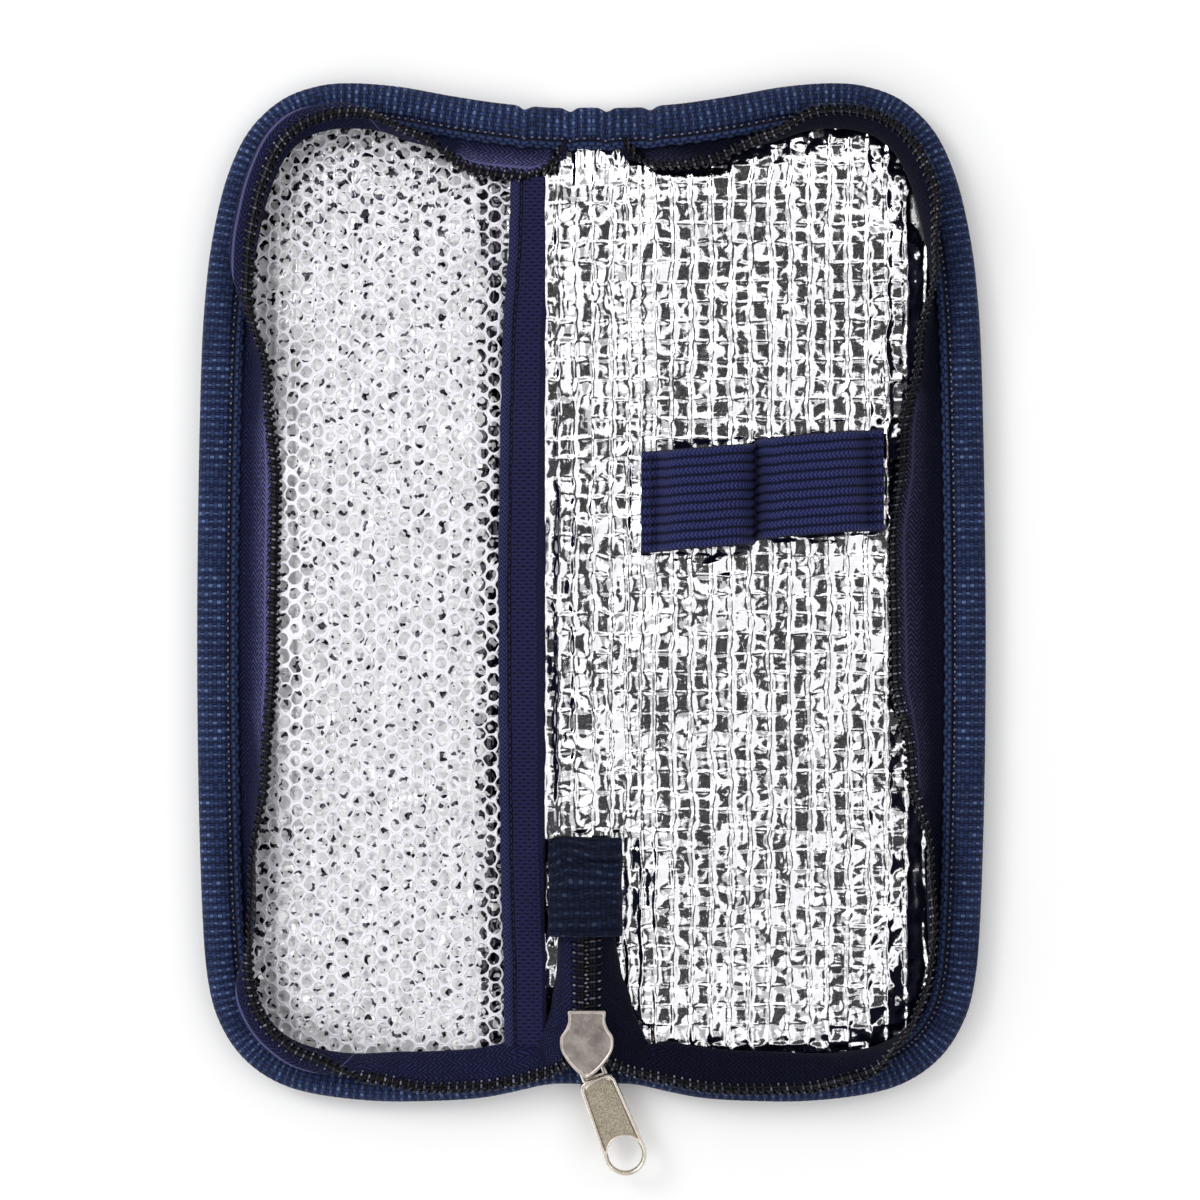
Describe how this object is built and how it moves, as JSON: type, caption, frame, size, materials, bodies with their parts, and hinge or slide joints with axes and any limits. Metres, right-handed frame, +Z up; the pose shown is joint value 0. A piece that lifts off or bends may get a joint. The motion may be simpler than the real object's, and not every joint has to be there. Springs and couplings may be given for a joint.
{
  "type": "insulin cooling case",
  "caption": "Zipped fold-over cooling case for insulin pens, lying open: foil-lined padded halves on a spine, a net pocket, elastic pen loops and a zip slider.",
  "frame": {"origin": "middle of the spine's underside, on the table that the open case lies on", "axes": "+Z up, +Y along the spine away from the slider, +X towards the half with the pen loops"},
  "size_m": [0.154, 0.213, 0.0132],
  "materials": {
    "cover_cloth": "dark blue woven polyester",
    "foam": "white closed-cell foam, soft and light",
    "foil": "mirror-bright foil laminate with a square scrim grid, puckered",
    "binding": "dark blue coarse woven binding tape",
    "zip_tape": "dark violet-blue twill zip tape",
    "zip_coil": "near black moulded nylon coil",
    "net": "white warp-knitted net with round holes",
    "elastic": "dark blue ribbed woven elastic",
    "thread": "dark blue sewing thread",
    "slider_metal": "satin nickel plate with bright edges",
    "puller_metal": "sand-grained champagne nickel with a bright raised rim"
  },
  "bodies": {
    "right_half": {"right_outer_cover": "cover_cloth", "right_foam_pad": "foam", "right_foil_lining": "foil", "right_edge_binding": "binding", "right_zipper_tape": "zip_tape", "right_zipper_coil": "zip_coil", "pen_loop_elastic": "elastic", "pen_loop_stitch_inner": "thread", "pen_loop_stitch_middle": "thread", "pen_loop_stitch_outer": "thread"},
    "spine": {"spine_outer_cover": "cover_cloth", "spine_foam_pad": "foam", "spine_foil_lining": "foil", "spine_binding_top": "binding", "spine_binding_bottom": "binding", "tail_tape_right": "zip_tape", "tail_tape_left": "zip_tape", "tail_coil_right": "zip_coil", "tail_coil_left": "zip_coil", "zipper_end_tab": "binding"},
    "left_half": {"left_outer_cover": "cover_cloth", "left_foam_pad": "foam", "left_foil_lining": "foil", "left_edge_binding": "binding", "left_zipper_tape": "zip_tape", "left_zipper_coil": "zip_coil", "mesh_pocket": "net", "pocket_elastic_band": "elastic", "pocket_band_stitching": "thread"},
    "slider": {"slider_body": "slider_metal"},
    "puller": {"slider_puller": "puller_metal"}
  },
  "joints": [
    {"name": "spine_fold", "type": "hinge", "parent": "right_half", "child": "spine", "pos_m": [0.009, 0, 0.006], "axis": [0, 1, 0], "range_deg": [0, 90]},
    {"name": "left_fold", "type": "hinge", "parent": "spine", "child": "left_half", "pos_m": [-0.009, 0, 0.006], "axis": [0, 1, 0], "range_deg": [0, 90]},
    {"name": "slider_travel", "type": "slide", "parent": "spine", "child": "slider", "axis": [0, 1, 0], "range_m": [0, 0.007], "deforming": ["tail_coil_right", "tail_coil_left", "tail_tape_right", "tail_tape_left"]},
    {"name": "puller_tilt", "type": "hinge", "parent": "slider", "child": "puller", "pos_m": [-0.0009, -0.09, 0.0053], "axis": [-0.9304, -0.3665, 0], "range_deg": [0, 9]}
  ]
}
